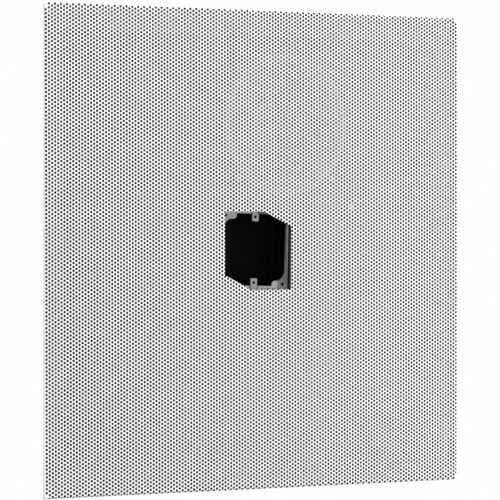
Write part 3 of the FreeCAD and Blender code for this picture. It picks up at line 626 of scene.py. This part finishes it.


# %% [markdown]
# ### Masked painted shade
# Parts that lie behind the holes on the face side are laid over with near-black painted shade, so that
# little shows through the holes.
# A mask is where a place lies between pairs of parallel planes: for each pair, the dot product of the
# place and a direction differs from the middle by at most half the gap. The finish changes there.

# %% Masks between pairs of planes
X_AXIS, Y_AXIS, Z_AXIS = np.eye(3)
# Near black of the painted shade, and how far up from the face it reaches
PAINTED_SHADE_BLACK = (0.006, 0.006, 0.006)
PAINTED_SHADE_TOP = DEPTH + 0.1
# Sockets of a Mix node that mixes colours; its other modes use the same names
MIX_FACTOR, MIX_A, MIX_B, MIX_RESULT = 0, 6, 7, 2


def between_planes(finish, place, *pairs):
    """1 where |direction . place - middle| is at most half the gap for every pair of planes, else 0."""
    mask = None
    for direction, low, high in pairs:
        along = finish.node("ShaderNodeVectorMath", operation="DOT_PRODUCT")
        along.inputs[1].default_value = direction
        finish.join(place, along.inputs[0])
        within = finish.node("ShaderNodeMath", operation="COMPARE")
        within.inputs[1].default_value = (low + high) / 2 * MM
        within.inputs[2].default_value = (high - low) / 2 * MM
        finish.join(along.outputs["Value"], within.inputs[0])
        if mask is None:
            mask = within.outputs[0]
            continue
        both = finish.node("ShaderNodeMath", operation="MULTIPLY")
        finish.join(mask, both.inputs[0])
        finish.join(within.outputs[0], both.inputs[1])
        mask = both.outputs[0]
    return mask


def masked(finish, mask, colour, inside=True):
    """Lay a plain colour over the finish inside the mask, or outside it."""
    layer = finish.node("ShaderNodeMix", data_type="RGBA")
    under = finish.shader.inputs["Base Color"].links[0].from_socket
    plain_input, under_input = (MIX_B, MIX_A) if inside else (MIX_A, MIX_B)
    layer.inputs[plain_input].default_value = (*colour, 1)
    finish.join(mask, layer.inputs[MIX_FACTOR])
    finish.join(under, layer.inputs[under_input])
    finish.colour(layer.outputs[MIX_RESULT])
    return finish


def face_side_painted_shade(finish, colour=PAINTED_SHADE_BLACK):
    """The finish with its face side, below the front of the baffle, under a plain colour of painted shade.
    """
    return masked(finish, between_planes(finish, finish.place, (Z_AXIS, 0.0, PAINTED_SHADE_TOP)), colour)


# How far up from the face the painted shade reaches
print("spray reaches", PAINTED_SHADE_TOP, "mm up from the face")

# %% The box ring and the box, with their own masks
# Near black of the painted shade inside the box's hollow
HOLLOW_PAINTED_SHADE = (0.0036, 0.0034, 0.0032)
BOX_HALF = 50.8
BOX_SHEET = 1.6
BOX_TURN = math.radians(1.6)
KNOCKOUT = 0.5
MASK_DEPTH = 0.8 * BOX_SHEET
# Zinc left unshaded, in millimetres: across the ring, along the tile's Y axis and square to the cut corners
UNSHADED_ACROSS, UNSHADED_ALONG, UNSHADED_SKEW = (-45.0, 49.0), (-47.6, 50.4), (-47.5, 49.0)


def ring_with_painted_shade(finish):
    """Zinc behind the window only: the border that lies behind the holes gets near-black painted shade."""
    across = np.array([math.cos(BOX_TURN), math.sin(BOX_TURN), 0.0])
    cut = np.array([CUT_Y, -CUT_X, 0.0]) / math.hypot(CUT_X, CUT_Y)
    window_pairs = ((across, *UNSHADED_ACROSS), (Y_AXIS, *UNSHADED_ALONG), (cut, *UNSHADED_SKEW))
    # bare marks where the zinc shows; outside it the painted shade is laid on
    bare = between_planes(finish, finish.place, *window_pairs)
    return masked(finish, bare, PAINTED_SHADE_BLACK, inside=False)


def box_paint(name):
    """Black paint, greyer outside; painted shade makes it dead black in the hollow, between the walls and
    before the back.
    """
    finish = paint(name, (0.03, 0.0295, 0.029), 0.6, spread=0.2, shine=0.05)
    ring_low, ring_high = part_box("box_ring")
    x, y, _ = -(ring_low + ring_high) / 2
    cosine, sine = math.cos(BOX_TURN), math.sin(BOX_TURN)
    squared = finish.node("ShaderNodeMapping")
    squared.inputs["Location"].default_value = (x * cosine + y * sine, y * cosine - x * sine, 0.0)
    squared.inputs["Rotation"].default_value = (0.0, 0.0, -BOX_TURN)
    finish.join(finish.place, squared.inputs["Vector"])
    wall = BOX_HALF - MASK_DEPTH
    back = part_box("outlet_box")[1].z / MM - KNOCKOUT - MASK_DEPTH
    hollow_pairs = ((X_AXIS, -wall, wall), (Y_AXIS, -wall, wall), (Z_AXIS, -back, back))
    hollow = between_planes(finish, squared.outputs["Vector"], *hollow_pairs)
    return masked(finish, hollow, HOLLOW_PAINTED_SHADE)


# %% [markdown]
# ### White outside, dark inside
# The face is powder coated on its front, with dark primer behind, and the window was cut afterwards, so
# its edge is raw metal. The walls of the holes are bare metal given the primer's dark colour, partly
# painted shade. Three materials would need three slots. One material reads the face attribute that the
# meshes carry instead, and a threshold halfway between two marks switches the colour.

# %% Powder coat, primer and raw edge by the attribute
white = paint("white_powder_coat", (0.885, 0.872, 0.852), 0.42, spread=0.012)
mark = white.node("ShaderNodeAttribute", attribute_name="bare")
raw_colour = white.between(white.noise(220.0), (0.24, 0.17, 0.12), (0.42, 0.36, 0.3))
# Dark primer on the rear, also laid on the hole walls as partly painted shade
primer_and_wall_shade = white.between(white.noise(90.0), (0.075, 0.075, 0.077), (0.095, 0.095, 0.097))
covered = white.shader.inputs["Base Color"].links[0].from_socket
for limit, colour in ((PRIMER_AND_WALL_SHADE, primer_and_wall_shade), (RAW, raw_colour)):
    past = white.node("ShaderNodeMath", operation="GREATER_THAN")
    past.inputs[1].default_value = limit - PRIMER_AND_WALL_SHADE / 2
    layer = white.node("ShaderNodeMix", data_type="RGBA")
    white.join(mark.outputs["Fac"], past.inputs[0])
    white.join(past.outputs[0], layer.inputs[MIX_FACTOR])
    white.join(covered, layer.inputs[MIX_A])
    white.join(colour, layer.inputs[MIX_B])
    covered = layer.outputs[MIX_RESULT]
white.colour(covered)
for made in sheet_pieces + [panel_edge]:
    made.data.materials.append(white.material)
print("face pieces painted:", len(sheet_pieces) + 1)

# %% [markdown]
# ### The other pieces
# The record names a material slot for each solid, so one table of finishes dresses them all. Screws
# whose tips stand on the face side get painted shade there, darker on some than on others, and they get
# a finish each.

# %% Finishes of the solids, by the record's slots
PLATED = (0.68, 0.68, 0.69)
finishes = {
    "black_paint": paint("black_baffle_paint", (0.016, 0.016, 0.0165), 0.7, spread=0.2, shine=0.2),
    "box_paint": box_paint("black_box_paint"),
    "ring_zinc": ring_with_painted_shade(zinc("ring_zinc", (0.29, 0.293, 0.296), 0.65, 0.0, 0.1)),
    "bracket_zinc": zinc("bracket_zinc", (0.55, 0.56, 0.57), 0.42),
    # Rivet tails on the face side get near-black painted shade
    "rivet_aluminium": face_side_painted_shade(metal("rivet_aluminium", (0.72, 0.72, 0.73), 0.38)),
    "screw_steel": metal("plated_screw_steel", PLATED, 0.3),
    "basket_paint": paint("basket_enamel", (0.06, 0.06, 0.065), 0.36, spread=0.12),
    "gasket_board": fibre("gasket_board", (0.1, 0.09, 0.08), 0.9),
    "surround_cloth": fibre("treated_edge_cloth", (0.15, 0.146, 0.142), 0.75, 700.0),
    "cone_paper": fibre("cone_paper", (0.06, 0.059, 0.057), 0.85, 180.0),
    "cap_paper": fibre("cap_paper", (0.09, 0.085, 0.078), 0.85, 300.0),
    "former_foil": metal("former_foil", (0.7, 0.7, 0.71), 0.3, (1, 1, 0.1)),
    "copper_wire": ruled("enamelled_copper", (0.6, 0.27, 0.12), 0.35, "Z", 900.0, 0.9, 0.5),
    "spider_cloth": fibre("spider_cloth", (0.56, 0.42, 0.2), 0.85, 900.0),
    "motor_steel": metal("plated_motor_steel", (0.33, 0.32, 0.29), 0.5, (1, 1, 6), 120.0),
    "ferrite": fibre("ferrite", (0.06, 0.06, 0.065), 0.6, 420.0, 0.18, 0.15),
    "fibre_board": fibre("terminal_fibre_board", (0.32, 0.18, 0.09), 0.7, 500.0),
    "tinned_brass": metal("tinned_brass", (0.72, 0.68, 0.56), 0.32),
    "core_steel": ruled("core_laminations", (0.2, 0.2, 0.21), 0.5, "Y", 320.0, 0.6, 0.6),
    "bobbin_plastic": moulded("bobbin_plastic", (0.72, 0.69, 0.6), 0.45),
    "winding_tape": ruled("winding_tape", (0.58, 0.42, 0.11), 0.35, "Z", 45.0, 0.0, 0.3),
    "block_plastic": moulded("block_plastic", (0.03, 0.03, 0.033), 0.4),
    "clip_plastic": moulded("clip_plastic", (0.75, 0.74, 0.69), 0.4),
}
# Grey of the painted shade on each screw's face side, darker on some than on others
screw_shade_tones = {"driver_screws": 0.27, "block_screws": 0.16, "clip_screw": 0.33}
by_node = {
    node: face_side_painted_shade(metal(node + "_steel", PLATED, 0.3), (tone, tone, tone))
    for node, tone in screw_shade_tones.items()
}
painted_nodes = 0
for sub in frame["record"]["subparts"]:
    finish = by_node.get(sub["node"]) or finishes.get(sub["material_slot"])
    if finish is None:
        continue
    data = bending.get(sub["node"], nodes[sub["node"]]).data
    data.materials.clear()
    data.materials.append(finish.material)
    painted_nodes += 1
print("nodes finished:", painted_nodes)

# %% [markdown]
# ## Studio
# The photograph looks up at the face against plain white. The tile keeps its own frame, face down, so
# the camera stands below it. Two stage sheets show to a camera on one side only and are clear to every
# other ray: a pale floor seen from above, and a black sheet of painted shade for the unlit space over a
# ceiling, seen from below through gaps.

# %% A sheet that is seen from one side only


def wire(tree, *pairs):
    """Links from outputs to inputs."""
    for start, end in pairs:
        tree.links.new(start, end)


def one_sided(name, colour):
    """Matt to a camera before the sheet, clear to all else: camera ray times front face mixes the two."""
    made = bpy.data.materials.new(name)
    made.use_nodes = True
    tree = made.node_tree
    tree.nodes.clear()
    out = tree.nodes.new("ShaderNodeOutputMaterial")
    mix = tree.nodes.new("ShaderNodeMixShader")
    clear = tree.nodes.new("ShaderNodeBsdfTransparent")
    matt = tree.nodes.new("ShaderNodeBsdfDiffuse")
    matt.inputs["Color"].default_value = (*colour, 1)
    path = tree.nodes.new("ShaderNodeLightPath")
    side = tree.nodes.new("ShaderNodeNewGeometry")
    front = tree.nodes.new("ShaderNodeMath")
    front.operation = "SUBTRACT"
    front.inputs[0].default_value = 1.0
    seen = tree.nodes.new("ShaderNodeMath")
    seen.operation = "MULTIPLY"
    wire(
        tree,
        (side.outputs["Backfacing"], front.inputs[1]),
        (path.outputs["Is Camera Ray"], seen.inputs[0]),
        (front.outputs[0], seen.inputs[1]),
        (seen.outputs[0], mix.inputs[0]),
        (clear.outputs[0], mix.inputs[1]),
        (matt.outputs[0], mix.inputs[2]),
        (mix.outputs[0], out.inputs["Surface"]),
    )
    return made, tree, matt, mix


def stage_sheet(name, corners, material):
    """One flat stage rectangle; its front is the side from which the corners run anticlockwise."""
    mesh = bpy.data.meshes.new(name)
    mesh.from_pydata(corners, [], [(0, 1, 2, 3)])
    mesh.materials.append(material)
    made = bpy.data.objects.new(name, mesh)
    bpy.context.collection.objects.link(made)


# %% Floor that fades to white, and the painted shade over the ceiling, in metres
FLOOR, FLOOR_DROP = 6.0, 0.0005
FADE_START, FADE_END = 0.5, 2.4
pale, tree, matt, mix = one_sided("pale_floor", (0.9, 0.9, 0.9))
place = tree.nodes.new("ShaderNodeTexCoord")
distance = tree.nodes.new("ShaderNodeVectorMath")
distance.operation = "LENGTH"
fade = tree.nodes.new("ShaderNodeMapRange")
fade.interpolation_type = "SMOOTHSTEP"
fade.inputs["From Min"].default_value = FADE_START
fade.inputs["From Max"].default_value = FADE_END
glow = tree.nodes.new("ShaderNodeEmission")
blend = tree.nodes.new("ShaderNodeMixShader")
wire(
    tree,
    (place.outputs["Object"], distance.inputs[0]),
    (distance.outputs["Value"], fade.inputs["Value"]),
    (fade.outputs["Result"], blend.inputs[0]),
    (matt.outputs[0], blend.inputs[1]),
    (glow.outputs[0], blend.inputs[2]),
    (blend.outputs[0], mix.inputs[2]),
)
floor_signs = ((-1, -1), (1, -1), (1, 1), (-1, 1))
stage_sheet("studio_floor", [(x * FLOOR, y * FLOOR, -FLOOR_DROP) for x, y in floor_signs], pale)

# A near-black sheet above the tile, seen only from below, is painted shade for the unlit space over a
# ceiling
VOID_X, VOID_Y, VOID_HEIGHT = (-0.19, 0.3), (-0.25, 0.25), 0.1
dark = one_sided("painted_shade_over_ceiling", (0.004, 0.004, 0.004))[0]
void_corners = [(VOID_X[i], VOID_Y[k], VOID_HEIGHT) for i, k in ((0, 0), (0, 1), (1, 1), (1, 0))]
stage_sheet("painted_shade_over_ceiling", void_corners, dark)
print("floor at", -FLOOR_DROP, "m, void at", VOID_HEIGHT, "m")

# %% [markdown]
# ### Light
# One small far lamp lights the face at a slant from the right, so most of what lies behind the holes
# stays in the shadow of the sheet. The world gives a weak even light, and is white only to the rays
# that see it: straight ones, mirrored ones and those through glass. Lamps above light the rear.

# %% World: white to the camera, soft light to everything else
world = bpy.data.worlds.new("studio")
bpy.context.scene.world = world
world.use_nodes = True
tree = world.node_tree
tree.nodes.clear()
out = tree.nodes.new("ShaderNodeOutputWorld")
mix = tree.nodes.new("ShaderNodeMixShader")
sky = tree.nodes.new("ShaderNodeBackground")
sky.inputs["Strength"].default_value = 0.1
backdrop = tree.nodes.new("ShaderNodeBackground")
for background in (sky, backdrop):
    background.inputs["Color"].default_value = (1, 1, 1, 1)
path = tree.nodes.new("ShaderNodeLightPath")
rays = path.outputs["Is Camera Ray"]
for kind in ("Is Glossy Ray", "Is Transmission Ray"):
    add = tree.nodes.new("ShaderNodeMath")
    add.operation = "MAXIMUM"
    wire(tree, (rays, add.inputs[0]), (path.outputs[kind], add.inputs[1]))
    rays = add.outputs[0]
wire(
    tree,
    (rays, mix.inputs[0]),
    (sky.outputs[0], mix.inputs[1]),
    (backdrop.outputs[0], mix.inputs[2]),
    (mix.outputs[0], out.inputs["Surface"]),
)
print("world strength", sky.inputs["Strength"].default_value)

# %% Lamps below and above


def lamp(name, place, aim, size, power):
    """Square area lamp that faces a point."""
    light = bpy.data.lights.new(name, "AREA")
    light.size = size
    light.energy = power
    made = bpy.data.objects.new(name, light)
    bpy.context.collection.objects.link(made)
    back = np.array(place, float) - np.array(aim, float)
    back /= np.linalg.norm(back)
    across = np.cross((0.0, 1.0, 0.0), back)
    across /= np.linalg.norm(across)
    up = np.cross(back, across)
    matrix = np.eye(4)
    matrix[:3, 0], matrix[:3, 1], matrix[:3, 2], matrix[:3, 3] = across, up, back, place
    made.matrix_world = Matrix(matrix.tolist())
    return made


# Name, place and aim in metres, size in metres, power in watts
lamp("face_key", (10.8, 1.2, -6.9), (0, 0, 0), 0.6, 2300.0)
lamp("face_fill", (-1.8, 0.5, -2.6), (0, 0, 0), 1.6, 8.0)
lamp("face_top", (-0.9, -1.5, -1.1), (-0.1, -0.2, 0), 0.8, 6.0)
lamp("top_rim", (0.3, -3.0, -0.5), (0, -0.25, 0), 0.8, 80.0)
lamp("side_fill", (-2.6, 0.2, 0.15), (0, 0, 0), 1.2, 50.0)
lamp("rear_key", (1.4, -1.8, 2.6), (0, 0, 0), 1.2, 48.0)
lamp("rear_fill", (-2.0, 1.6, 2.0), (0, 0, 0), 1.8, 26.0)

# %% [markdown]
# ### Camera
# Holes in straight rows fix a camera well: the lens, its place and its three angles follow from where
# the rows run in the photograph. It looks up at the face from the left, from almost four metres away.

# %% Camera: turned about the tile's Y axis, tilted, then rolled about its own view
FRAME = 500
FOCAL = 3067.4
CAMERA_PLACE = np.array([-1942.02, -31.20, -3336.66])
TURN, TILT, ROLL = np.radians([30.0427, 0.4686, -0.0946])
level = np.array([math.cos(TURN), 0.0, -math.sin(TURN)])
view = np.array([math.sin(TURN) * math.cos(TILT), math.sin(TILT), math.cos(TURN) * math.cos(TILT)])
right = math.cos(ROLL) * level + math.sin(ROLL) * np.cross(view, level)
down = np.cross(view, right)
matrix = np.eye(4)
matrix[:3, 0], matrix[:3, 1], matrix[:3, 2] = right, -down, -view
matrix[:3, 3] = CAMERA_PLACE * MM
lens = bpy.data.cameras.new("photo_camera")
lens.sensor_width = 36.0
lens.sensor_fit = "HORIZONTAL"
lens.lens = FOCAL * lens.sensor_width / FRAME
lens.clip_end = 50.0
camera = bpy.data.objects.new("photo_camera", lens)
camera.matrix_world = Matrix(matrix.tolist())
bpy.context.collection.objects.link(camera)
bpy.context.scene.camera = camera
bpy.context.scene.view_settings.view_transform = "Standard"
print("lens", round(lens.lens, 2), "mm")
